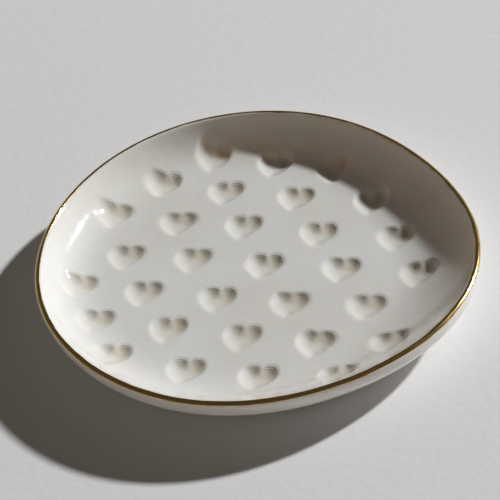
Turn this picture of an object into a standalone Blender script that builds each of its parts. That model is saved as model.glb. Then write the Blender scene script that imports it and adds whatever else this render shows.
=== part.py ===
"""A small shallow porcelain dish with a gilded lip and hearts pressed into its floor.

Metres, +Z up. The origin is on the table, under the middle of the dish. +X runs along the
rows of hearts and +Y points to the rounded tops of the hearts.
"""
import math

import bmesh
import bpy
from mathutils import Vector

# Driving sizes of the dish
RIM_RADIUS = 0.0540
HEIGHT = 0.0120
FLOOR_TOP = 0.0038
CLEARANCE = 0.0003

# The outline is a little oval and uneven: waves round the rim, each one's swing as a share
# of the rim's radius, and the direction of its first crest in degrees
RIM_WAVE_SHARES = ((2, 0.046, 145), (3, 0.015, 117), (4, 0.005, 90), (5, 0.003, 66))
RIM_SIDES = 72
SHARP_ANGLE = math.radians(30)

# The lip, and the outside of the wall
LIP_ROUND = 0.0010
LIP_LEAN = math.radians(55)
OUTER_BAND = 0.0008
FALL_ROUND = 0.0040
UNDER_SLOPE = math.radians(33)
FALL_STEPS = 6
LIP_STEPS = 7

# The inside of the wall sinks to the floor as a power of the way still to go. It is steepest
# on one side of the dish and gentlest on the other.
WALL_RUN = 0.0200
WALL_CURL = 3.6
CURL_SHARE = 0.45
STEEPEST_SIDE = math.radians(165)
WALL_STEPS = 9
WALL_STEP_EASE = 1.4

# The gilded band that wraps the lip
GILT_THICKNESS = 0.0003
GILT_STEPS = 6

# The foot ring under the base
FOOT_HEIGHT = 0.0011
FOOT_WIDTH = 0.0032
FOOT_SETBACK = 0.0006
FOOT_EASE = 0.0005

# The hearts pressed into the floor. The stamp was held a little turned against the rows, and
# leaned over to its right, where it went in deeper.
HEART_WIDTH = 0.0098
HEART_LENGTH = 0.0092
HEART_DEPTH = 0.0011
HEART_TURN = math.radians(5.5)
HEART_LEAN = math.radians(4.5)
PRESS_OVERRUN = 0.0005
HEART_PITCH = 0.0189
ROW_PITCH = 0.0131
PATTERN_X = -0.0076
PATTERN_Y = 0.0055

# One side of a heart, from the cleft round to the tip: shares of half its width across,
# and of its length above the tip
HALF_HEART_SHARES = (
    (0.00, 0.79), (0.16, 0.93), (0.42, 1.00), (0.70, 0.97), (0.92, 0.84), (1.00, 0.67),
    (0.95, 0.51), (0.78, 0.35), (0.52, 0.19), (0.24, 0.06), (0.00, 0.00),
)
CLEFT_SHARE = 0.79
MIDDLE_SHARE = 0.55

# How a pressed heart narrows as it gets deeper: share of the outline, share of the depth
PRESS_SHARES = ((0.86, 0.50), (0.60, 1.00))

# The pattern has a heart wherever one fits this far below the top of the wall, but for one
# place that was left unpressed. A place is a row above the middle row, and the pitches
# along it from the middle.
HEART_MARGIN = 0.0012
UNPRESSED = {(-1, 3.0)}

# The clay draws the outer hearts in as it rises up the wall: share lost at the rim
DRAW_IN_SHARE = 0.046

# Hearts that were pressed by hand a little off their place, in shares of the two pitches
HEART_DRIFT_SHARES = {
    (3, -1.0): (0.06, 0.08), (3, 1.0): (-0.11, -0.10),
    (2, -1.5): (0.00, 0.16), (2, -0.5): (-0.03, 0.02), (2, 0.5): (-0.01, -0.04),
    (2, 1.5): (0.06, -0.02), (1, -2.0): (0.00, 0.10), (1, 0.0): (-0.06, 0.01),
    (1, 1.0): (-0.01, -0.06), (1, 2.0): (0.06, -0.03), (0, -1.5): (-0.01, -0.07),
    (0, -0.5): (-0.05, -0.03), (0, 0.5): (-0.06, -0.05), (0, 1.5): (-0.03, 0.00),
    (0, 2.5): (0.04, -0.02), (-1, -2.0): (0.02, -0.05), (-1, -1.0): (-0.01, -0.05),
    (-1, 0.0): (0.01, -0.05), (-1, 1.0): (-0.03, -0.03), (-1, 2.0): (-0.02, 0.04),
    (-2, -1.5): (0.00, 0.05), (-2, -0.5): (0.04, 0.03), (-2, 0.5): (0.04, 0.00),
    (-3, -1.0): (-0.04, 0.15), (-3, 1.0): (-0.04, -0.02),
}

PORCELAIN = {"color": (0.84, 0.83, 0.80), "roughness": 0.12, "metallic": 0.0}
GOLD_LUSTRE = {"color": (0.80, 0.58, 0.24), "roughness": 0.22, "metallic": 1.0}
BARE_CLAY = {"color": (0.78, 0.75, 0.69), "roughness": 0.80, "metallic": 0.0}


def clear_scene():
    for thing in list(bpy.data.objects):
        bpy.data.objects.remove(thing)


def make_material(name, look):
    material = bpy.data.materials.new(name)
    material.use_nodes = True
    shader = material.node_tree.nodes["Principled BSDF"]
    shader.inputs["Base Color"].default_value = (*look["color"], 1.0)
    shader.inputs["Roughness"].default_value = look["roughness"]
    shader.inputs["Metallic"].default_value = look["metallic"]
    return material


# The outline seen from above

def rim_reach(angle):
    """Distance from the middle of the rim to its outer edge in one direction."""
    swing = sum(share * math.cos(waves * (angle - math.radians(crest)))
                for waves, share, crest in RIM_WAVE_SHARES)
    return RIM_RADIUS * (1.0 + swing)


def rim_directions():
    return [math.tau * side / RIM_SIDES for side in range(RIM_SIDES)]


def rim_middle():
    """Middle of the outline's box, which the origin is set under."""
    across = [rim_reach(angle) * math.cos(angle) for angle in rim_directions()]
    along = [rim_reach(angle) * math.sin(angle) for angle in rim_directions()]
    return Vector((min(across) + max(across), min(along) + max(along))) / 2


MIDDLE = rim_middle()


def dish_point(angle, inset, height):
    """A point in one direction, a distance in from the rim's outer edge."""
    reach = rim_reach(angle) - inset
    return reach * math.cos(angle) - MIDDLE.x, reach * math.sin(angle) - MIDDLE.y, height


def level_ring(inset, height):
    return [dish_point(angle, inset, height) for angle in rim_directions()]


# The section through the wall, as pairs of inset from the rim and height above the table

def arc_steps(start, end, steps):
    return [start + (end - start) * step / steps for step in range(steps + 1)]


def lip_point(radius, turn):
    """A point on the lip's rounding; a turn of zero faces outwards, a quarter turn up."""
    return LIP_ROUND - radius * math.cos(turn), HEIGHT - LIP_ROUND + radius * math.sin(turn)


LIP_TURN = math.pi / 2 + LIP_LEAN
WALL_TOP_INSET, WALL_TOP = lip_point(LIP_ROUND, LIP_TURN)
WALL_RISE = WALL_TOP - FLOOR_TOP
UNDERSIDE = FOOT_HEIGHT + CLEARANCE
FALL_TOP = HEIGHT - LIP_ROUND - OUTER_BAND
FALL_TURN = math.pi / 2 - UNDER_SLOPE
FALL_END_INSET = FALL_ROUND * (1.0 - math.cos(FALL_TURN))
FALL_END = FALL_TOP - FALL_ROUND * math.sin(FALL_TURN)
BASE_INSET = FALL_END_INSET + (FALL_END - UNDERSIDE) / math.tan(UNDER_SLOPE)


def inside_height(inset, angle):
    """Height of the inside surface: a wall that eases into the flat floor."""
    share = min(max((inset - WALL_TOP_INSET) / WALL_RUN, 0.0), 1.0)
    curl = WALL_CURL * (1.0 + CURL_SHARE * math.cos(angle - STEEPEST_SIDE))
    return FLOOR_TOP + WALL_RISE * (1.0 - share) ** curl


def wall_rings():
    """Rings down the inside of the wall, closest together where it is steepest."""
    rings = []
    for step in arc_steps(0.0, 1.0, WALL_STEPS):
        inset = WALL_TOP_INSET + WALL_RUN * step ** WALL_STEP_EASE
        rings.append([dish_point(angle, inset, inside_height(inset, angle)) for angle in rim_directions()])
    return rings


def outside_section():
    """From the edge of the underside, up the outside and over the lip."""
    section = [(BASE_INSET, UNDERSIDE)]
    for turn in arc_steps(FALL_TURN, 0.0, FALL_STEPS):
        section.append((FALL_ROUND * (1.0 - math.cos(turn)), FALL_TOP - FALL_ROUND * math.sin(turn)))
    section.append(lip_point(LIP_ROUND, 0.0))
    rebate = LIP_ROUND - GILT_THICKNESS - CLEARANCE
    section += [lip_point(rebate, turn) for turn in arc_steps(0.0, LIP_TURN, LIP_STEPS)]
    return section


def gilt_section():
    """A band over the lip, clear of the porcelain below it and at its two edges."""
    edge = CLEARANCE / LIP_ROUND
    turns = arc_steps(edge, LIP_TURN - edge, GILT_STEPS)
    outer = [lip_point(LIP_ROUND, turn) for turn in turns]
    inner = [lip_point(LIP_ROUND - GILT_THICKNESS, turn) for turn in reversed(turns)]
    return outer + inner


def foot_section():
    """A low ring with its two resting edges eased."""
    outer = BASE_INSET + FOOT_SETBACK
    inner = outer + FOOT_WIDTH
    return [(outer, FOOT_HEIGHT), (outer, FOOT_EASE), (outer + FOOT_EASE, 0.0),
            (inner - FOOT_EASE, 0.0), (inner, FOOT_EASE), (inner, FOOT_HEIGHT)]


# Building meshes

def join_rings(mesh, rings, closed):
    """Bridge each ring of vertices to the next, and the last to the first if closed."""
    pairs = list(zip(rings, rings[1:]))
    if closed:
        pairs.append((rings[-1], rings[0]))
    for lower, upper in pairs:
        for side in range(len(lower)):
            after = (side + 1) % len(lower)
            mesh.faces.new((lower[side], lower[after], upper[after], upper[side]))


def ring_mesh(places, closed):
    """A mesh from rings of points; it is closed on itself or gets a cap at each end."""
    mesh = bmesh.new()
    rings = []
    for ring in places:
        rings.append([mesh.verts.new(point) for point in ring])
    join_rings(mesh, rings, closed)
    if not closed:
        mesh.faces.new(rings[0])
        mesh.faces.new(rings[-1])
    bmesh.ops.recalc_face_normals(mesh, faces=mesh.faces)
    return mesh


def make_object(name, mesh, material, parent):
    data = bpy.data.meshes.new(name)
    mesh.to_mesh(data)
    mesh.free()
    data.materials.append(material)
    data.shade_smooth()
    data.set_sharp_from_angle(angle=SHARP_ANGLE)
    thing = bpy.data.objects.new(name, data)
    thing.parent = parent
    bpy.context.scene.collection.objects.link(thing)
    return thing


# The pressed hearts

def turned(across, up):
    """A place on the stamp, as it lies on the dish when the stamp is turned."""
    return (across * math.cos(HEART_TURN) - up * math.sin(HEART_TURN),
            across * math.sin(HEART_TURN) + up * math.cos(HEART_TURN))


def heart_outline():
    """Points round a heart of real size, with the middle of its body at zero."""
    half = []
    for across, up in HALF_HEART_SHARES:
        half.append((across * HEART_WIDTH / 2, (up - MIDDLE_SHARE) * HEART_LENGTH))
    other = [(-across, up) for across, up in half[-2:0:-1]]
    return [turned(across, up) for across, up in half + other]


def pattern_places():
    """Every place of the pattern, a little past the rim; each second row is half a pitch over."""
    rows = math.ceil(RIM_RADIUS / ROW_PITCH)
    across = math.ceil(RIM_RADIUS / HEART_PITCH)
    places = []
    for row in range(-rows, rows + 1):
        stagger = (row + 1) % 2 / 2
        places += [(row, number + stagger) for number in range(-across, across + 1)]
    return places


def heart_middle(row, along):
    """Where the middle of one heart lies, seen from above."""
    cleft = Vector((PATTERN_X + along * HEART_PITCH, PATTERN_Y + row * ROW_PITCH))
    cleft *= 1.0 - DRAW_IN_SHARE * (cleft.length / RIM_RADIUS) ** 2
    drift = HEART_DRIFT_SHARES.get((row, along), (0.0, 0.0))
    cleft += Vector((drift[0] * HEART_PITCH, drift[1] * ROW_PITCH))
    return cleft - Vector(turned(0.0, (CLEFT_SHARE - MIDDLE_SHARE) * HEART_LENGTH))


def rim_inset(x, y):
    """How far one point lies in from the rim, measured towards the rim's middle."""
    return rim_reach(math.atan2(y, x)) - math.hypot(x, y)


def heart_fits(middle):
    """Whether a whole heart round one point stays below the top of the wall."""
    insets = [rim_inset(middle.x + across, middle.y + up) for across, up in heart_outline()]
    return min(insets) > WALL_TOP_INSET + HEART_MARGIN


def heart_places():
    """The middles of the hearts that are pressed."""
    middles = [heart_middle(*place) for place in pattern_places() if place not in UNPRESSED]
    return [middle for middle in middles if heart_fits(middle)]


def surface_height(x, y):
    """Height of the unpressed inside surface over one point."""
    return inside_height(rim_inset(x, y), math.atan2(y, x))


def press_level(mesh, outline, place, share, depth):
    """One ring of the press, following the surface at a depth below it that the lean changes."""
    lean = math.tan(HEART_LEAN) * depth / HEART_DEPTH
    ring = []
    for across, up in outline:
        x = place.x + across * share
        y = place.y + up * share
        height = surface_height(x, y) - depth - across * share * lean
        ring.append(mesh.verts.new((x - MIDDLE.x, y - MIDDLE.y, height)))
    return ring


def cap_fan(mesh, ring, place, depth):
    """Close a ring with triangles that meet over the heart's middle."""
    height = surface_height(place.x, place.y) - depth
    hub = mesh.verts.new((place.x - MIDDLE.x, place.y - MIDDLE.y, height))
    for side, vertex in enumerate(ring):
        mesh.faces.new((vertex, ring[(side + 1) % len(ring)], hub))


def heart_press():
    """All the heart shapes in one cutter, each a closed body that tapers downwards."""
    mesh = bmesh.new()
    outline = heart_outline()
    first_share, first_depth = PRESS_SHARES[0]
    spread = (1.0 - first_share) * PRESS_OVERRUN / (first_depth * HEART_DEPTH)
    levels = [(1.0 + spread, -PRESS_OVERRUN)]
    levels += [(share, depth * HEART_DEPTH) for share, depth in PRESS_SHARES]
    for place in heart_places():
        rings = [press_level(mesh, outline, place, share, depth) for share, depth in levels]
        join_rings(mesh, rings, closed=False)
        cap_fan(mesh, rings[0], place, levels[0][1])
        cap_fan(mesh, rings[-1], place, levels[-1][1])
    bmesh.ops.recalc_face_normals(mesh, faces=mesh.faces)
    return mesh


def make_dish_body(parent):
    """The porcelain shell: floor, wall, rebated lip and the pressed hearts."""
    material = make_material("glazed_porcelain", PORCELAIN)
    rings = [level_ring(inset, height) for inset, height in outside_section()] + wall_rings()
    body = make_object("dish_body", ring_mesh(rings, closed=False), material, parent)
    press = make_object("heart_press", heart_press(), material, parent)
    press.hide_render = True
    press.display_type = "WIRE"
    cut = body.modifiers.new("pressed_hearts", "BOOLEAN")
    cut.operation = "DIFFERENCE"
    cut.solver = "EXACT"
    cut.object = press
    # The larger faces lead the shading, so the floor looks flat between the hearts
    shading = body.modifiers.new("even_shading", "WEIGHTED_NORMAL")
    shading.keep_sharp = True
    return body


def make_gilt_rim(parent):
    """The gold lustre band that is fired over the lip."""
    material = make_material("gold_lustre", GOLD_LUSTRE)
    rings = [level_ring(inset, height) for inset, height in gilt_section()]
    return make_object("gilt_rim", ring_mesh(rings, closed=True), material, parent)


def make_foot_ring(parent):
    """The low unglazed ring that the dish stands on."""
    material = make_material("bare_clay", BARE_CLAY)
    rings = [level_ring(inset, height) for inset, height in foot_section()]
    return make_object("foot_ring", ring_mesh(rings, closed=True), material, parent)


clear_scene()
dish = bpy.data.objects.new("dish", None)
bpy.context.scene.collection.objects.link(dish)
make_dish_body(dish)
make_gilt_rim(dish)
make_foot_ring(dish)
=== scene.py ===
"""The looks of a small porcelain dish with a gilded lip and hearts pressed into its floor.

Metres, +Z up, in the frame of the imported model. +X runs along the rows of hearts and +Y
points to the rounded tops of the hearts.
"""

import math

import bpy
from mathutils import Matrix, Vector


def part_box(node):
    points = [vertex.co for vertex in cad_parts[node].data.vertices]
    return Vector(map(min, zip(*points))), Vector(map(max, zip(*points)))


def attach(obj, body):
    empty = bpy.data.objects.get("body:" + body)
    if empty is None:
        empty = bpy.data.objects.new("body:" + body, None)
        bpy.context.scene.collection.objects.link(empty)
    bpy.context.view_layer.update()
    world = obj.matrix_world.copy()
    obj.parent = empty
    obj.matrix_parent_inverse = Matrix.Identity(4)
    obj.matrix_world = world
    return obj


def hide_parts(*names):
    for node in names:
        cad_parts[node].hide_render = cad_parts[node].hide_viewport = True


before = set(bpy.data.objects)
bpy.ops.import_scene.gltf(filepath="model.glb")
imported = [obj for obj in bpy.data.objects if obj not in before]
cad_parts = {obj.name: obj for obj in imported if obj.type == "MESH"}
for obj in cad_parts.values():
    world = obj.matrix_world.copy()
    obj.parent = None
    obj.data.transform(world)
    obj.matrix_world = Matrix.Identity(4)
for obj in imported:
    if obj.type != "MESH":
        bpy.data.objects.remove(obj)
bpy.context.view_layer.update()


# The porcelain shell
# One thin casting of white porcelain with a low wall and a rolled lip. Its hearts were pressed
# in by hand with one stamp while the clay was soft, and a clear, uneven glaze covers it.

# The outline is a circle round a middle, with slow waves in it: how many go round, their
# share of the radius, and the direction of a crest in degrees
RIM_RADIUS = 0.0540
RIM_WAVE_SHARES = ((2, 0.046, 145), (3, 0.015, 117), (4, 0.005, 90), (5, 0.003, 66))
RIM_MIDDLE = Vector((-0.00096, -0.00020))

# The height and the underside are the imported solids' own. The gold film is thicker than a
# fired one, so that it stands clear of the glaze.
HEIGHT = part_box("gilt_rim")[1].z
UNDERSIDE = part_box("dish_body")[0].z
FLOOR_TOP = 0.0038
GILT_FILM = 0.00004

# The section: the lip's rounding, the outside down to the base, and the wall inside
LIP_ROUND = 0.0010
LIP_LEAN = math.radians(55)
OUTER_BAND = 0.0008
FALL_ROUND = 0.0040
UNDER_SLOPE = math.radians(33)
WALL_RUN = 0.0200
WALL_CURL = 3.6
CURL_SHARE = 0.45
STEEPEST_SIDE = math.radians(165)

BLANK_CELLS = 260
LIP_STEPS = 10
FALL_STEPS = 8
SLOPE_STEPS = 4
BASE_STEPS = 4

# The stamp: its outline, its depth, how far in from the outline it reaches that depth, and
# the power that makes its sides full
HEART_WIDTH = 0.0094
HEART_LENGTH = 0.0092
HEART_DEPTH = 0.00098
HEART_BOWL = 0.0033
HEART_FULLNESS = 0.9

# How the stamp was held, and how much its twist and its force differ from heart to heart
HEART_TURN = math.radians(5.5)
HEART_LEAN = math.radians(4.5)
LEAN_SIDE = math.radians(65)
HAND_TWIST = 0.04
LEAST_FORCE_SHARE = 0.88
MOST_FORCE_SHARE = 1.10
HEART_SEED = 4

# How often the pressed edges are smoothed, and how far before a heart's middle its deep
# side starts, as a share of the bowl
EDGE_SMOOTHING = 2
DEEP_START_SHARE = -0.3

# The pattern: its pitches, its start, and how much the clay draws it in at the rim
HEART_PITCH = 0.0189
ROW_PITCH = 0.0131
PATTERN_START = Vector((-0.0072, 0.0052))
DRAW_IN_SHARE = 0.046

# One side of the stamp, from the cleft round to the tip: shares of half its width across,
# and of its length above the tip
HALF_HEART_SHARES = (
    (0.00, 0.90), (0.15, 0.97), (0.42, 1.00), (0.70, 0.97), (0.92, 0.84), (1.00, 0.67),
    (0.95, 0.51), (0.78, 0.35), (0.52, 0.19), (0.24, 0.06), (0.00, 0.00),
)
CLEFT_SHARE = 0.79
MIDDLE_SHARE = 0.55

# Each row of hearts: its place above the middle row, and its first and last heart in
# pitches from the middle
HEART_ROWS = (
    (3, -1.0, 1.0), (2, -1.5, 1.5), (1, -2.0, 2.0), (0, -1.5, 2.5),
    (-1, -2.0, 2.0), (-2, -1.5, 2.5), (-3, -1.0, 2.0),
)

# Hearts that stand a little off their place, by row and place in it, in shares of the pitches
HEART_DRIFT_SHARES = {
    (3, -1.0): (0.06, 0.08), (3, 1.0): (-0.11, -0.10),
    (2, -1.5): (0.00, 0.16), (2, -0.5): (-0.03, 0.02), (2, 0.5): (-0.01, -0.04),
    (2, 1.5): (0.06, -0.02), (1, -2.0): (0.00, 0.10), (1, 0.0): (-0.06, 0.01),
    (1, 1.0): (-0.01, -0.06), (1, 2.0): (0.06, -0.03), (0, -1.5): (-0.01, -0.07),
    (0, -0.5): (-0.05, -0.03), (0, 0.5): (-0.06, -0.05), (0, 1.5): (-0.03, 0.00),
    (0, 2.5): (0.04, -0.02), (-1, -2.0): (0.02, -0.05), (-1, -1.0): (-0.01, -0.05),
    (-1, 0.0): (0.01, -0.05), (-1, 1.0): (-0.03, -0.03), (-1, 2.0): (-0.02, 0.04),
    (-2, -1.5): (0.00, 0.05), (-2, -0.5): (0.04, 0.03), (-2, 0.5): (0.04, 0.00),
    (-3, -1.0): (-0.04, 0.15), (-3, 1.0): (-0.04, -0.02),
}

# The waves in the glaze, and the share of a wave's length over which they die out at the lip
WAVE_HEIGHT = 0.00012
WAVE_LENGTH = 0.011
CALM_SHARE = 0.25

# What a noise texture gives on average, and the range that holds nearly all of it
NOISE_MIDDLE = 0.5
NOISE_RANGE = (0.3, 0.7)

LIP_TURN = math.pi / 2 + LIP_LEAN
FALL_TURN = math.pi / 2 - UNDER_SLOPE
GLAZE_ROUND = LIP_ROUND - GILT_FILM


def lip_point(radius, turn):
    """A point on the lip's rounding; a turn of zero faces outwards, a quarter turn up."""
    return LIP_ROUND - radius * math.cos(turn), HEIGHT - LIP_ROUND + radius * math.sin(turn)


WALL_TOP_INSET, WALL_TOP = lip_point(GLAZE_ROUND, LIP_TURN)
FALL_TOP = HEIGHT - LIP_ROUND - OUTER_BAND
FALL_END = FALL_TOP - FALL_ROUND * math.sin(FALL_TURN)
FALL_END_INSET = FALL_ROUND * (1 - math.cos(FALL_TURN))
BASE_INSET = FALL_END_INSET + (FALL_END - UNDERSIDE) / math.tan(UNDER_SLOPE)


class Field:
    """One output of a node. Sums written on it add the nodes that do them."""

    def __init__(self, tree, socket):
        self.tree = tree
        self.socket = socket

    def math(self, operation, *others):
        return add(self.tree, "ShaderNodeMath", (self, *others), operation=operation)

    def __add__(self, other):
        return self.math("ADD", other)

    def __sub__(self, other):
        return self.math("SUBTRACT", other)

    def __mul__(self, other):
        return self.math("MULTIPLY", other)

    def ramp(self, start, end, low=0.0, high=1.0, kind="SMOOTHSTEP"):
        """This number eased from low to high as it goes from start to end."""
        sockets = {"Value": self, "From Min": start, "From Max": end, "To Min": low, "To Max": high}
        return add(self.tree, "ShaderNodeMapRange", sockets, interpolation_type=kind)


def find_socket(sockets, name):
    """A node's socket by its place or its name, passing over those that are switched off."""
    if isinstance(name, int):
        return sockets[name]
    return next(socket for socket in sockets if socket.name == name and socket.enabled)


def add(tree, kind, inputs=(), output=0, **settings):
    """Adds a node with its settings and inputs, and returns one of its outputs."""
    node = tree.nodes.new(kind)
    for name, value in settings.items():
        setattr(node, name, value)
    for name, value in inputs.items() if isinstance(inputs, dict) else enumerate(inputs):
        socket = find_socket(node.inputs, name)
        if isinstance(value, Field):
            tree.links.new(value.socket, socket)
        else:
            socket.default_value = value
    return Field(tree, find_socket(node.outputs, output))


def along(tree, vector, axis):
    """One of a vector's three parts."""
    return add(tree, "ShaderNodeSeparateXYZ", [vector], output=axis)


def new_tree(name, inputs, outputs):
    """A geometry node tree with named inputs and outputs, given as name and kind of socket."""
    tree = bpy.data.node_groups.new(name, "GeometryNodeTree")
    for label, kind in inputs.items():
        tree.interface.new_socket(label, in_out="INPUT", socket_type="NodeSocket" + kind)
    for label, kind in outputs.items():
        tree.interface.new_socket(label, in_out="OUTPUT", socket_type="NodeSocket" + kind)
    start = tree.nodes.new("NodeGroupInput")
    return tree, {label: Field(tree, start.outputs[label]) for label in inputs}


def end_tree(tree, result):
    end = tree.nodes.new("NodeGroupOutput")
    tree.links.new(result.socket, end.inputs[0])


def end_piece(tree, geometry, material):
    """Ends the tree of a piece: plain mesh all through, with its material on it."""
    whole = add(tree, "GeometryNodeRealizeInstances", [geometry])
    end_tree(tree, add(tree, "GeometryNodeSetMaterial", {"Geometry": whole, "Material": material}))


def attribute(tree, name):
    return add(tree, "GeometryNodeInputNamedAttribute", {"Name": name}, data_type="FLOAT")


def shape_with(thing, tree, sizes):
    """Adds a tree to an object as a modifier, with its named inputs set."""
    modifier = thing.modifiers.new(tree.name, "NODES")
    modifier.node_group = tree
    for item in tree.interface.items_tree:
        if item.name in sizes:
            modifier[item.identifier] = sizes[item.name]


def make_plain(thing):
    """Turns an object and its modifiers into a plain mesh."""
    graph = bpy.context.evaluated_depsgraph_get()
    mesh = bpy.data.meshes.new_from_object(thing.evaluated_get(graph))
    thing.modifiers.clear()
    thing.data = mesh
    mesh.shade_smooth()


def make_rim_reach():
    """The rim's outline: a circle with a few slow waves in it, which make it oval and uneven."""
    inputs = dict.fromkeys(("Turn", "Rim Radius"), "Float")
    tree, given = new_tree("rim_reach", inputs, {"Reach": "Float"})
    swing = 1.0
    for waves, share, crest in RIM_WAVE_SHARES:
        turn = given["Turn"] * float(waves) - waves * math.radians(crest)
        swing = turn.math("COSINE") * share + swing
    end_tree(tree, given["Rim Radius"] * swing)
    return tree


def add_reach(tree, turn, rim_radius):
    """How far out the rim lies in the direction of a turn."""
    inputs = {"Turn": turn, "Rim Radius": rim_radius}
    return add(tree, "GeometryNodeGroup", inputs, node_tree=rim_reach)


def laid_round(tree, given, turn, radius, height):
    """The given mesh, each vertex laid at a turn round the rim's middle, a radius and a height."""
    place = [turn.math("COSINE") * radius, turn.math("SINE") * radius, height]
    place = add(tree, "ShaderNodeCombineXYZ", place)
    place = add(tree, "ShaderNodeVectorMath", [place, given["Rim Middle"]])
    return add(tree, "GeometryNodeSetPosition", {"Geometry": given["Geometry"], "Position": place})


def make_raise_tree():
    """Lays a blank out round the rim, and raises its inside from a flat floor into the wall."""
    sizes = ("Rim Radius", "Floor Height", "Wall Top", "Wall Run", "Wall Curl", "Curl Share",
             "Steepest Side")
    inputs = {"Geometry": "Geometry", "Rim Middle": "Vector", "Clay": "Material",
              **dict.fromkeys(sizes, "Float")}
    tree, given = new_tree("raised_on_the_rim", inputs, {"Geometry": "Geometry"})
    turn = attribute(tree, "turn")
    inset = attribute(tree, "inset")
    reach = add_reach(tree, turn, given["Rim Radius"])
    radius = (reach - inset) * attribute(tree, "spread")
    climb = (reach - radius - inset).ramp(0.0, given["Wall Run"], 1.0, 0.0, kind="LINEAR")
    curl = (turn - given["Steepest Side"]).math("COSINE") * given["Curl Share"] + 1.0
    climb = climb.math("POWER", curl * given["Wall Curl"])
    wall = climb * (given["Wall Top"] - given["Floor Height"]) + given["Floor Height"]
    inside = {"Factor": attribute(tree, "inside"), "A": attribute(tree, "level"), "B": wall}
    height = add(tree, "ShaderNodeMix", inside)
    end_piece(tree, laid_round(tree, given, turn, radius, height), given["Clay"])
    return tree


def make_press_tree():
    """Presses one stamp into a surface wherever a point lies."""
    sizes = ("Turn", "Twist", "Least Force", "Most Force", "Depth", "Lean", "Lean Side", "Bowl",
             "Fullness", "Deep Start")
    inputs = {"Geometry": "Geometry", "Stamp": "Object", "Places": "Object", "Seed": "Int",
              "Smoothing": "Int", "Clay": "Material", **dict.fromkeys(sizes, "Float")}
    tree, given = new_tree("pressed_hearts", inputs, {"Geometry": "Geometry"})

    def object_mesh(name):
        return add(tree, "GeometryNodeObjectInfo", {"Object": given[name]}, output="Geometry")

    def varied(low, high, step):
        """A number of its own for each heart; each use of it has a step of its own."""
        limits = {"Min": low, "Max": high, "Seed": given["Seed"] + step}
        return add(tree, "FunctionNodeRandomValue", limits, output="Value", data_type="FLOAT")

    def stamped(shape):
        """The shape laid flat at every place, each copy twisted a little by the hand."""
        twist = varied(given["Twist"] * -1.0, given["Twist"], 0.0)
        turn = add(tree, "ShaderNodeCombineXYZ", {"Z": given["Turn"] + twist})
        pairs = {"Points": places, "Instance": shape, "Rotation": turn}
        copies = add(tree, "GeometryNodeInstanceOnPoints", pairs)
        return add(tree, "GeometryNodeRealizeInstances", [copies])

    def distance_to(shape, element):
        pair = {"Geometry": shape, "Sample Position": plan}
        return add(tree, "GeometryNodeProximity", pair, output="Distance", target_element=element)

    def kept(geometry, name, value):
        sockets = {"Geometry": geometry, "Name": name, "Value": value}
        return add(tree, "GeometryNodeStoreNamedAttribute", sockets,
                   data_type="FLOAT", domain="POINT")

    def of_nearest_heart(name):
        nearest = {"Mesh": hearts, "Value": attribute(tree, name), "Sample Position": plan}
        return add(tree, "GeometryNodeSampleNearestSurface", nearest, data_type="FLOAT")

    position = add(tree, "GeometryNodeInputPosition")
    side = given["Lean Side"]
    towards_side = along(tree, position, "X") * side.math("COSINE")
    towards_side += along(tree, position, "Y") * side.math("SINE")
    force = varied(given["Least Force"], given["Most Force"], 1.0)
    places = kept(kept(object_mesh("Places"), "force", force), "middle", towards_side)
    stamp = object_mesh("Stamp")
    outlines = stamped(add(tree, "GeometryNodeCurveToMesh", [stamp]))
    hearts = stamped(add(tree, "GeometryNodeFillCurve", [stamp]))

    # Outside a heart its face is as far off as its outline, so that this is negative there
    plan = add(tree, "ShaderNodeVectorMath", [position, (1.0, 1.0, 0.0)], operation="MULTIPLY")
    inwards = distance_to(outlines, "EDGES") - distance_to(hearts, "FACES") * 2.0
    rest = inwards.ramp(0.0, given["Bowl"], 1.0, 0.0, kind="LINEAR")
    press = (rest * rest * -1.0 + 1.0).math("POWER", given["Fullness"]) * attribute(tree, "inside")
    smooth = {"Value": press, "Iterations": given["Smoothing"]}
    press = add(tree, "GeometryNodeBlurAttribute", smooth, data_type="FLOAT")
    marked = kept(given["Geometry"], "press", press)
    beyond = towards_side - of_nearest_heart("middle")
    deep_side = beyond.ramp(given["Bowl"] * given["Deep Start"], given["Bowl"])
    marked = kept(marked, "deep_side", deep_side)

    lean = beyond * given["Lean"].math("TANGENT")
    depth = given["Depth"] * of_nearest_heart("force") + lean
    drop = add(tree, "ShaderNodeCombineXYZ", {"Z": attribute(tree, "press") * depth * -1.0})
    pressed = add(tree, "GeometryNodeSetPosition", {"Geometry": marked, "Offset": drop})
    end_piece(tree, pressed, given["Clay"])
    return tree


def make_glaze_tree():
    """Lets the glaze stand in low waves on a surface, which die out towards the lip."""
    sizes = ("Wave Height", "Wave Length", "Calm Share", "Lip Height")
    inputs = {"Geometry": "Geometry", "Glaze": "Material", **dict.fromkeys(sizes, "Float")}
    tree, given = new_tree("glaze_waves", inputs, {"Geometry": "Geometry"})
    position = add(tree, "GeometryNodeInputPosition")
    below_lip = given["Lip Height"] - along(tree, position, "Z")
    free = below_lip.ramp(0.0, given["Wave Length"] * given["Calm Share"])
    spot = {"Vector": position, "Scale": given["Wave Length"].math("POWER", -1.0), "Detail": 1.0}
    wave = (add(tree, "ShaderNodeTexNoise", spot) - NOISE_MIDDLE) * given["Wave Height"] * free
    normal = add(tree, "GeometryNodeInputNormal")
    rise = add(tree, "ShaderNodeVectorMath", {0: normal, "Scale": wave}, operation="SCALE")
    glazed = add(tree, "GeometryNodeSetPosition", {"Geometry": given["Geometry"], "Offset": rise})
    end_piece(tree, glazed, given["Glaze"])
    return tree


def steps(start, end, count):
    """Evenly spaced numbers from start to end."""
    return [start + (end - start) * step / count for step in range(count + 1)]


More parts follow.
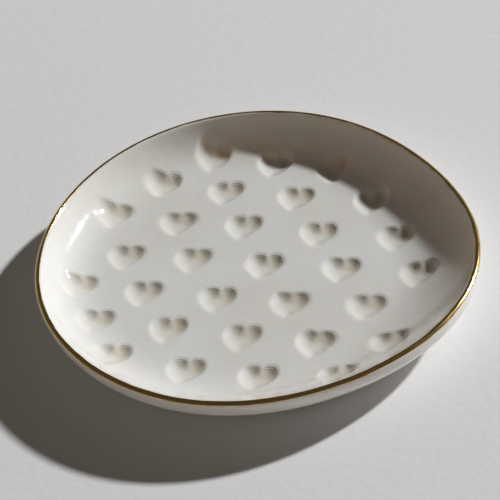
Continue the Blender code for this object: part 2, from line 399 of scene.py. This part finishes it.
def square_to_disc(across, up):
    """Direction, and share of the way out, of a square's place when it is spread to a disc."""
    if across == 0 and up == 0:
        return 0.0, 0.0
    if abs(across) >= abs(up):
        return math.pi / 4 * up / across + (math.pi if across < 0 else 0.0), abs(across)
    return math.pi / 2 - math.pi / 4 * across / up + (math.pi if up < 0 else 0.0), abs(up)


def shell_rows():
    """Rings from the lip's inner side to the middle of the base, as spread, inset and height."""
    rows = [(1.0, *lip_point(GLAZE_ROUND, turn)) for turn in steps(LIP_TURN, 0.0, LIP_STEPS)[1:]]
    for turn in steps(0.0, FALL_TURN, FALL_STEPS):
        inset = GILT_FILM + FALL_ROUND * (1 - math.cos(turn))
        rows.append((1.0, inset, FALL_TOP - FALL_ROUND * math.sin(turn)))
    insets = steps(FALL_END_INSET + GILT_FILM, BASE_INSET, SLOPE_STEPS)
    levels = steps(FALL_END, UNDERSIDE, SLOPE_STEPS)
    rows += [(1.0, inset, level) for inset, level in list(zip(insets, levels))[1:]]
    rows += [(spread, BASE_INSET, UNDERSIDE) for spread in steps(1.0, 0.0, BASE_STEPS)[1:-1]]
    return rows


def mesh_of_places(name, places, faces):
    """A mesh with all in one point, whose vertices carry where a tree is to lay them."""
    mesh = bpy.data.meshes.new(name)
    mesh.from_pydata([(0.0, 0.0, 0.0)] * len(places), [], faces)
    for label in places[0]:
        layer = mesh.attributes.new(label, "FLOAT", "POINT")
        layer.data.foreach_set("value", [place[label] for place in places])
    thing = bpy.data.objects.new(name, mesh)
    bpy.context.scene.collection.objects.link(thing)
    return thing


def raised_place(turn, spread, inset, level, inside=0.0):
    """What one vertex carries for the tree that raises a blank."""
    return {"turn": turn, "spread": spread, "inset": inset, "level": level, "inside": inside}


def bridge(inner, outer):
    """Faces between two rings of vertex numbers."""
    pairs = zip(inner, inner[1:] + inner[:1], outer[1:] + outer[:1], outer)
    return [(start, after, beyond, over)[::-1] for start, after, beyond, over in pairs]


def make_shell_blank():
    """A fine square grid spread to a disc for the inside, then rings over the lip to the base."""
    cells = BLANK_CELLS
    places = []
    for row in steps(-1.0, 1.0, cells):
        for column in steps(-1.0, 1.0, cells):
            turn, spread = square_to_disc(column, row)
            places.append(raised_place(turn, spread, WALL_TOP_INSET, 0.0, inside=1.0))
    line = cells + 1
    faces = []
    for row in range(cells):
        for start in range(row * line, row * line + cells):
            faces.append((start, start + 1, start + 1 + line, start + line))
    top = cells * line
    ring = list(range(cells)) + list(range(cells, top + cells, line))
    ring += list(range(top + cells, top, -1)) + list(range(top, 0, -line))
    turns = [places[corner]["turn"] for corner in ring]
    for spread, inset, level in shell_rows():
        start = len(places)
        places += [raised_place(turn, spread, inset, level) for turn in turns]
        after = list(range(start, len(places)))
        faces += bridge(ring, after)
        ring = after
    places.append(raised_place(0.0, 0.0, BASE_INSET, UNDERSIDE))
    for start, after in zip(ring, ring[1:] + ring[:1]):
        faces.append((start, len(places) - 1, after))
    return mesh_of_places("porcelain_shell", places, faces)


def make_stamp():
    """The stamp's outline: a curve with a sharp cleft and tip."""
    half = []
    for across, up in HALF_HEART_SHARES:
        half.append((across * HEART_WIDTH / 2, (up - MIDDLE_SHARE) * HEART_LENGTH, 0.0))
    corners = (0, len(half) - 1)
    points = half + [(-x, y, z) for x, y, z in half[-2:0:-1]]
    curve = bpy.data.curves.new("heart_stamp", "CURVE")
    line = curve.splines.new("BEZIER")
    line.bezier_points.add(len(points) - 1)
    line.use_cyclic_u = True
    for number, (knot, point) in enumerate(zip(line.bezier_points, points)):
        knot.co = point
        knot.handle_left_type = knot.handle_right_type = "VECTOR" if number in corners else "AUTO"
    return bpy.data.objects.new("heart_stamp", curve)


def make_places():
    """A point for the middle of each heart, seen from above."""
    cleft_reach = Vector((0.0, (CLEFT_SHARE - MIDDLE_SHARE) * HEART_LENGTH))
    cleft_reach.rotate(Matrix.Rotation(HEART_TURN, 2))
    points = []
    for row, first, last in HEART_ROWS:
        for step in range(round(last - first) + 1):
            place = first + step
            cleft = PATTERN_START + Vector((place * HEART_PITCH, row * ROW_PITCH))
            cleft *= 1 - DRAW_IN_SHARE * (cleft.length / RIM_RADIUS) ** 2
            drift = HEART_DRIFT_SHARES.get((row, place), (0.0, 0.0))
            cleft += Vector((drift[0] * HEART_PITCH, drift[1] * ROW_PITCH)) + RIM_MIDDLE
            points.append((*(cleft - cleft_reach), 0.0))
    mesh = bpy.data.meshes.new("heart_places")
    mesh.from_pydata(points, [], [])
    return bpy.data.objects.new("heart_places", mesh)


def new_material(name, constants):
    """A material and its shader, with what is the same all over it set on the shader."""
    material = bpy.data.materials.new(name)
    material.use_nodes = True
    shader = material.node_tree.nodes["Principled BSDF"]
    for socket, value in constants.items():
        shader.inputs[socket].default_value = value
    return material, material.node_tree, shader


def feed(shader, socket, field):
    shader.id_data.links.new(field.socket, shader.inputs[socket])


def mesh_value(tree, name):
    """A number that the mesh carries, for a material."""
    return add(tree, "ShaderNodeAttribute", output="Fac", attribute_name=name)


def blend_colours(tree, share, first, second):
    """One colour going over into another; a colour is three shares or a field."""
    sockets = {"Factor": share}
    for name, colour in (("A", first), ("B", second)):
        sockets[name] = colour if isinstance(colour, Field) else (*colour, 1.0)
    return add(tree, "ShaderNodeMix", sockets, output="Result", data_type="RGBA")


def noise(tree, place, size, detail=2.0):
    """Soft clouds about one size across, in metres."""
    return add(tree, "ShaderNodeTexNoise", {"Vector": place, "Scale": 1 / size, "Detail": detail})


def bump(tree, height, relief, strength=1.0, **under):
    """Shading as if a height of one stood proud by the relief, over any bumps under it."""
    sockets = {"Strength": strength, "Distance": relief, "Height": height, **under}
    return add(tree, "ShaderNodeBump", sockets)


PORCELAIN_LIGHT = (0.85, 0.845, 0.82)
PORCELAIN_WARM = (0.82, 0.805, 0.765)
# Glaze pooled in the hearts, also used as painted shade on their deep side
POOLED_GLAZE_AND_SHADE = (0.67, 0.58, 0.42)
IRON_SPECK = (0.12, 0.09, 0.06)
TONE_PATCH = 0.030
TONE_RANGE = (0.35, 0.65)

# How much of the pooled glaze's colour shows in a heart, on its shallow and its deep side. The
# small share is glaze pooled in the hollow. The large share on the deep side is mostly painted
# shade: the dark crescent where the heart's walls turn away from the lamp.
POOLED_GLAZE_AND_SHADE_SHARES = (0.2125, 0.85)

# Specks of iron: how far apart they could be, which of those places have one, and its size
# as a share of the spacing
SPECK_SPACING = 0.0145
SPECK_PICK_RANGE = (0.82, 0.83)
SPECK_SIZE_SHARE = 0.014
SPECK_DARKNESS = 0.7

# The skin of the glaze: its gloss, its slow swells, and the fine pits in it
GLOSS_PATCH = 0.004
GLAZE_ROUGHNESS = (0.07, 0.14)
SKIN_SWELL = 0.0075
SKIN_PIT = 0.0011
PIT_SHARE = 0.18
SKIN_RELIEF = 0.00012

# The fine lines that the stamp's layers left on the deep side of each heart: how strongly
# they show, where each one's step rises, and the shares of the press over which they fade
STAMP_LAYERS = 5
LAYERS_SHOWN = 0.4
LAYER_RISE = (0.25, 0.75)
LAYER_FADE_SHARES = (0.35, 0.7)


def glazed_porcelain():
    """Warm white clay that light enters a little, under a clear glaze that is never quite even."""
    material, tree, shader = new_material("glazed_porcelain", {
        "IOR": 1.5, "Coat Weight": 0.7, "Coat Roughness": 0.07, "Subsurface Weight": 0.3,
        "Subsurface Radius": (1.0, 0.6, 0.35), "Subsurface Scale": 0.003,
    })
    place = add(tree, "ShaderNodeTexCoord", output="Object")
    drift = noise(tree, place, TONE_PATCH).ramp(*TONE_RANGE)
    tone = blend_colours(tree, drift, PORCELAIN_LIGHT, PORCELAIN_WARM)
    press = mesh_value(tree, "press")
    deep_side = mesh_value(tree, "deep_side")
    # Pooled glaze in each heart, with painted shade added on its deep side, where its walls face
    # away from the lamp
    pooled_glaze_and_shade = press * deep_side.ramp(0.0, 1.0, *POOLED_GLAZE_AND_SHADE_SHARES)
    tone = blend_colours(tree, pooled_glaze_and_shade, tone, POOLED_GLAZE_AND_SHADE)
    cells = {"Vector": place, "Scale": 1 / SPECK_SPACING}
    spot = add(tree, "ShaderNodeTexVoronoi", cells, output="Distance", voronoi_dimensions="2D")
    pick = add(tree, "ShaderNodeTexVoronoi", cells, output="Color", voronoi_dimensions="2D")
    chosen = add(tree, "ShaderNodeSeparateColor", [pick], output="Red").ramp(*SPECK_PICK_RANGE)
    speck = spot.ramp(SPECK_SIZE_SHARE, SPECK_SIZE_SHARE / 2) * chosen * SPECK_DARKNESS
    feed(shader, "Base Color", blend_colours(tree, speck, tone, IRON_SPECK))
    gloss = noise(tree, place, GLOSS_PATCH).ramp(*NOISE_RANGE, *GLAZE_ROUGHNESS)
    feed(shader, "Roughness", gloss)
    skin = noise(tree, place, SKIN_SWELL) + noise(tree, place, SKIN_PIT) * PIT_SHARE
    layer = (press * STAMP_LAYERS).math("FRACT")
    shown = deep_side * press.ramp(*LAYER_FADE_SHARES, 1.0, 0.0) * LAYERS_SHOWN
    step = (layer.ramp(*LAYER_RISE) - layer) * shown
    glazed = bump(tree, skin, SKIN_RELIEF)
    feed(shader, "Normal", bump(tree, step, HEART_DEPTH / STAMP_LAYERS, Normal=glazed))
    return material


rim_reach = make_rim_reach()
raised = make_raise_tree()
RIM_SIZES = {"Rim Radius": RIM_RADIUS, "Rim Middle": (*RIM_MIDDLE, 0.0)}
RAISED_SIZES = {
    **RIM_SIZES, "Floor Height": FLOOR_TOP, "Wall Top": WALL_TOP, "Wall Run": WALL_RUN,
    "Wall Curl": WALL_CURL, "Curl Share": CURL_SHARE, "Steepest Side": STEEPEST_SIDE,
}
stamp = make_stamp()
heart_places = make_places()
shell = make_shell_blank()
porcelain = glazed_porcelain()
shape_with(shell, raised, {**RAISED_SIZES, "Clay": porcelain})
shape_with(shell, make_press_tree(), {
    "Stamp": stamp, "Places": heart_places, "Seed": HEART_SEED, "Turn": HEART_TURN,
    "Twist": HAND_TWIST, "Least Force": LEAST_FORCE_SHARE, "Most Force": MOST_FORCE_SHARE,
    "Depth": HEART_DEPTH, "Lean": HEART_LEAN, "Lean Side": LEAN_SIDE, "Bowl": HEART_BOWL,
    "Fullness": HEART_FULLNESS, "Smoothing": EDGE_SMOOTHING, "Deep Start": DEEP_START_SHARE,
    "Clay": porcelain,
})
shape_with(shell, make_glaze_tree(), {
    "Wave Height": WAVE_HEIGHT, "Wave Length": WAVE_LENGTH, "Calm Share": CALM_SHARE,
    "Lip Height": WALL_TOP, "Glaze": porcelain,
})
make_plain(shell)
bpy.data.objects.remove(stamp)
bpy.data.objects.remove(heart_places)
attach(shell, "root")
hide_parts("dish_body")


# The gilded lip
# Liquid gold lustre, brushed over the finished glaze round the lip by hand and fired on.
# The film is bright and thin, with brush marks along it and edges that waver a little.

# The band's two edges as turns round the lip, and how far, how finely and where in the
# noise each one wavers
BAND_START = math.radians(22)
BAND_END = math.radians(112)
BAND_WAVER = math.radians(34)
START_WAVES = 7.0
START_SEED = 3.0
END_WAVES = 9.0
END_SEED = 11.0

# How far the film's back lies in the glaze, the power by which the film thins towards its
# edges, and how many of its thicknesses it drops there, which ends it below the glaze
GILT_SINK = 0.00003
THINNING = 10.0
EDGE_DIP_SHARE = 1.5

BAND_STEPS = 20
RING_SIDES = 720
RING_TURNS = steps(0.0, math.tau, RING_SIDES)[:-1]


def make_band_tree():
    """Wraps a strip over the lip between two wavering edges, where the film thins to nothing."""
    sizes = ("Rim Radius", "Lip Height", "Lip Round", "Waver", "Start", "Start Waves", "Start Seed",
             "End", "End Waves", "End Seed", "Film", "Sink", "Thinning", "Edge Dip")
    inputs = {"Geometry": "Geometry", "Rim Middle": "Vector", "Gold": "Material",
              **dict.fromkeys(sizes, "Float")}
    tree, given = new_tree("brushed_band", inputs, {"Geometry": "Geometry"})
    turn = attribute(tree, "turn")
    across = attribute(tree, "across")

    def wavering(edge):
        round_lip = [turn.math("COSINE"), turn.math("SINE"), given[edge + " Seed"]]
        round_lip = add(tree, "ShaderNodeCombineXYZ", round_lip)
        spot = {"Vector": round_lip, "Scale": given[edge + " Waves"], "Detail": 2.0}
        waver = (add(tree, "ShaderNodeTexNoise", spot) - NOISE_MIDDLE) * given["Waver"]
        return given[edge] + waver

    start = wavering("Start")
    over = start + (wavering("End") - start) * across
    swell = (across * 2.0 - 1.0).math("ABSOLUTE").math("POWER", given["Thinning"])
    outer = given["Lip Round"] - given["Film"] * swell * given["Edge Dip"]
    inner = given["Lip Round"] - given["Film"] - given["Sink"]
    sides = {"Factor": attribute(tree, "outside"), "A": inner, "B": outer}
    radius = add(tree, "ShaderNodeMix", sides)
    inset = given["Lip Round"] - over.math("COSINE") * radius
    level = given["Lip Height"] - given["Lip Round"] + over.math("SINE") * radius
    reach = add_reach(tree, turn, given["Rim Radius"]) - inset
    end_piece(tree, laid_round(tree, given, turn, reach, level), given["Gold"])
    return tree


def ring_blank(name, places, upwards):
    """A ring of places, closed on itself; its rows start upwards or downwards on its outside."""
    starts = range(0, len(places), RING_SIDES)
    rings = [list(range(start, start + RING_SIDES)) for start in starts]
    faces = []
    for ring, after in zip(rings, rings[1:] + rings[:1]):
        faces += bridge(after, ring) if upwards else bridge(ring, after)
    return mesh_of_places(name, places, faces)


def make_band_blank():
    """A strip closed on itself: its outer face from edge to edge, and its inner face back."""
    rows = [(across, 1.0) for across in steps(0.0, 1.0, BAND_STEPS)]
    rows += [(across, 0.0) for across in steps(1.0, 0.0, BAND_STEPS)]
    places = []
    for across, outside in rows:
        places += [{"turn": turn, "across": across, "outside": outside} for turn in RING_TURNS]
    return ring_blank("gold_lip", places, upwards=True)


GOLD_BRIGHT = (0.86, 0.63, 0.28)
GOLD_DEEP = (0.66, 0.44, 0.17)
GOLD_THIN = (0.45, 0.30, 0.14)
GOLD_ROUGHNESS = (0.12, 0.26)
GOLD_THIN_START = 0.86

# Brush streaks: their size, the share at which a length along the rim counts, which draws
# them out, and how wide the band counts, which makes them fine across it
STREAK_SIZE = 0.0022
STREAK_RANGE = (0.35, 0.70)
STREAK_DRAW_SHARE = 0.6
STREAK_ACROSS = 0.02
STREAK_RELIEF = 0.00003


def gold_lustre():
    """Fired gold: mirror bright, streaked along the rim by the brush and thin at its edges."""
    constants = {"Metallic": 1.0, "Specular IOR Level": 0.5}
    material, tree, shader = new_material("gold_lustre", constants)
    place = add(tree, "ShaderNodeTexCoord", output="Object")
    across = mesh_value(tree, "across")
    drawn = [along(tree, place, axis) * STREAK_DRAW_SHARE for axis in ("X", "Y")]
    brushed = add(tree, "ShaderNodeCombineXYZ", [*drawn, across * STREAK_ACROSS])
    streaks = noise(tree, brushed, STREAK_SIZE, detail=3.0)
    tone = blend_colours(tree, streaks.ramp(*STREAK_RANGE), GOLD_BRIGHT, GOLD_DEEP)
    edge = (across * 2.0 - 1.0).math("ABSOLUTE").ramp(GOLD_THIN_START, 1.0)
    feed(shader, "Base Color", blend_colours(tree, edge, tone, GOLD_THIN))
    feed(shader, "Roughness", streaks.ramp(*NOISE_RANGE, *GOLD_ROUGHNESS))
    feed(shader, "Normal", bump(tree, streaks, STREAK_RELIEF))
    return material


gold_lip = make_band_blank()
shape_with(gold_lip, make_band_tree(), {
    **RIM_SIZES, "Lip Height": HEIGHT, "Lip Round": LIP_ROUND, "Waver": BAND_WAVER,
    "Start": BAND_START, "Start Waves": START_WAVES, "Start Seed": START_SEED,
    "End": BAND_END, "End Waves": END_WAVES, "End Seed": END_SEED,
    "Film": GILT_FILM, "Sink": GILT_SINK, "Thinning": THINNING, "Edge Dip": EDGE_DIP_SHARE,
    "Gold": gold_lustre(),
})
make_plain(gold_lip)
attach(gold_lip, "root")
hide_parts("gilt_rim")


# The foot ring
# A low ring of the same clay, luted under the base and wiped clean of glaze before firing,
# so that it does not stick to the kiln shelf. It stays matt, fine-grained and a bit scuffed.

FOOT_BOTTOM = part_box("foot_ring")[0].z
FOOT_SETBACK = 0.0006
FOOT_WIDTH = 0.0032
FOOT_EASE = 0.0005
FOOT_SEAT = 0.00015
FOOT_EASE_STEPS = 5
FOOT_SHARP_ANGLE = math.radians(50)
FOOT_EASE_TOP = FOOT_BOTTOM + FOOT_EASE


def foot_rows():
    """The ring's section as inset and height: down its outside, round its eased edges and up."""
    seat = UNDERSIDE + FOOT_SEAT
    side = [(0.0, seat), (0.0, (seat + FOOT_EASE_TOP) / 2)]
    for turn in steps(0.0, math.pi / 2, FOOT_EASE_STEPS):
        side.append((FOOT_EASE * (1 - math.cos(turn)), FOOT_EASE_TOP - FOOT_EASE * math.sin(turn)))
    outer = BASE_INSET + FOOT_SETBACK
    inner = outer + FOOT_WIDTH
    rows = [(outer + inwards, level) for inwards, level in side]
    return rows + [(inner - inwards, level) for inwards, level in reversed(side)]


def make_foot_blank():
    places = []
    for inset, level in foot_rows():
        places += [raised_place(turn, 1.0, inset, level) for turn in RING_TURNS]
    return ring_blank("clay_foot", places, upwards=False)


CLAY_PALE = (0.79, 0.76, 0.70)
CLAY_TAN = (0.70, 0.64, 0.55)
CLAY_SCUFF = (0.55, 0.52, 0.47)
CLAY_ROUGHNESS = (0.65, 0.85)
CLAY_PATCH = 0.006
CLAY_RANGE = (0.35, 0.7)
CLAY_SHEEN_PATCH = 0.002
SCUFF_SIZE = 0.0015
SCUFF_RANGE = (0.55, 0.75)
SCUFF_SHARE = 0.6
GRAIN_SIZE = 0.0003
GRAIN_RELIEF = 0.00004
GRAIN_STRENGTH = 0.6


def bare_clay():
    """Unglazed fired porcelain: matt, fine-grained and greyed where it has rubbed on tables."""
    material, tree, shader = new_material("bare_clay", {"Specular IOR Level": 0.3})
    place = add(tree, "ShaderNodeTexCoord", output="Object")
    drift = noise(tree, place, CLAY_PATCH, detail=4.0).ramp(*CLAY_RANGE)
    tone = blend_colours(tree, drift, CLAY_PALE, CLAY_TAN)
    scuffs = noise(tree, place, SCUFF_SIZE, detail=5.0).ramp(*SCUFF_RANGE)
    worn = scuffs * along(tree, place, "Z").ramp(FOOT_EASE_TOP, FOOT_BOTTOM)
    feed(shader, "Base Color", blend_colours(tree, worn * SCUFF_SHARE, tone, CLAY_SCUFF))
    sheen = noise(tree, place, CLAY_SHEEN_PATCH).ramp(*NOISE_RANGE, *CLAY_ROUGHNESS)
    feed(shader, "Roughness", sheen)
    grain = noise(tree, place, GRAIN_SIZE, detail=4.0)
    feed(shader, "Normal", bump(tree, grain, GRAIN_RELIEF, GRAIN_STRENGTH))
    return material


clay_foot = make_foot_blank()
shape_with(clay_foot, raised, {**RAISED_SIZES, "Clay": bare_clay()})
make_plain(clay_foot)
clay_foot.data.set_sharp_from_angle(angle=FOOT_SHARP_ANGLE)
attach(clay_foot, "root")
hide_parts("foot_ring")


# The table under the dish
# A plain pale sheet, a touch rough and far wider than the dish, that only catches the light
# and the dish's shadow.

TABLE_REACH = 2.5
TABLE_COLOUR = (0.84, 0.84, 0.845)
TOOTH_SIZE = 0.0025
TOOTH_RELIEF = 0.0002
TOOTH_STRENGTH = 0.35


def make_table():
    corners = [(-1, -1), (1, -1), (1, 1), (-1, 1)]
    corners = [(x * TABLE_REACH, y * TABLE_REACH, 0.0) for x, y in corners]
    mesh = bpy.data.meshes.new("table")
    mesh.from_pydata(corners, [], [(0, 1, 2, 3)])
    table = bpy.data.objects.new("table", mesh)
    bpy.context.scene.collection.objects.link(table)
    constants = {"Base Color": (*TABLE_COLOUR, 1.0), "Roughness": 0.9}
    material, tree, shader = new_material("pale_sheet", constants)
    place = add(tree, "ShaderNodeTexCoord", output="Object")
    tooth = noise(tree, place, TOOTH_SIZE, detail=3.0)
    feed(shader, "Normal", bump(tree, tooth, TOOTH_RELIEF, TOOTH_STRENGTH))
    mesh.materials.append(material)
    return table


make_table()


# The studio
# One lamp, low and to the right beyond the dish, with shadows that are soft at their edges,
# and a pale room that fills them.

LAMP_AZIMUTH = math.radians(46)
LAMP_ELEVATION = math.radians(30)
LAMP_DISTANCE = 5.0
LAMP_SIZE = 0.30
LAMP_POWER = 292.0
LAMP_COLOUR = (0.985, 0.99, 1.0)
ROOM_COLOUR = (1.0, 0.88, 0.72)
ROOM_STRENGTH = 0.31
CEILING_STRENGTH = 0.06
CEILING_SHARE = 0.6


def make_lamp():
    flat = math.cos(LAMP_ELEVATION)
    across = flat * math.cos(LAMP_AZIMUTH)
    towards = Vector((across, flat * math.sin(LAMP_AZIMUTH), math.sin(LAMP_ELEVATION)))
    lamp = bpy.data.lights.new("soft_lamp", "AREA")
    lamp.shape = "DISK"
    lamp.size = LAMP_SIZE
    lamp.energy = LAMP_POWER
    lamp.color = LAMP_COLOUR
    thing = bpy.data.objects.new("soft_lamp", lamp)
    thing.location = towards * LAMP_DISTANCE
    thing.rotation_euler = towards.to_track_quat("Z", "Y").to_euler()
    bpy.context.scene.collection.objects.link(thing)


def make_room():
    """Pale walls all round under a dim ceiling, which leaves the gilding its dark tones."""
    room = bpy.data.worlds.new("pale_room")
    room.use_nodes = True
    tree = room.node_tree
    background = tree.nodes["Background"]
    background.inputs["Color"].default_value = (*ROOM_COLOUR, 1.0)
    height = along(tree, add(tree, "ShaderNodeTexCoord", output="Generated"), "Z")
    feed(background, "Strength", height.ramp(0.0, CEILING_SHARE, ROOM_STRENGTH, CEILING_STRENGTH))
    bpy.context.scene.world = room


make_lamp()
make_room()
bpy.context.scene.view_settings.view_transform = "Standard"


# The camera
# Where the photograph was taken from: half a metre off, looking down at the dish through a
# long lens, with the frame a little tilted.

VIEW_AZIMUTH = math.radians(24.16)
VIEW_ELEVATION = math.radians(39.39)
VIEW_ROLL = math.radians(12.0)
VIEW_DISTANCE = 0.4795
VIEW_AIM = Vector((-0.00096, -0.00095, 0.01118))
LENS = 144.0
SENSOR_WIDTH = 36.0
NEAREST_SEEN = 0.01
FARTHEST_SEEN = 20.0


def make_camera():
    data = bpy.data.cameras.new("camera")
    data.lens = LENS
    data.sensor_width = SENSOR_WIDTH
    data.clip_start = NEAREST_SEEN
    data.clip_end = FARTHEST_SEEN
    camera = bpy.data.objects.new("camera", data)
    tilt = Matrix.Rotation(math.pi / 2 - VIEW_ELEVATION, 4, "X")
    stand = Matrix.Rotation(VIEW_AZIMUTH, 4, "Z") @ tilt @ Matrix.Rotation(-VIEW_ROLL, 4, "Z")
    back = Matrix.Translation((0.0, 0.0, VIEW_DISTANCE))
    camera.matrix_world = Matrix.Translation(VIEW_AIM) @ stand @ back
    bpy.context.scene.collection.objects.link(camera)
    bpy.context.scene.camera = camera


make_camera()
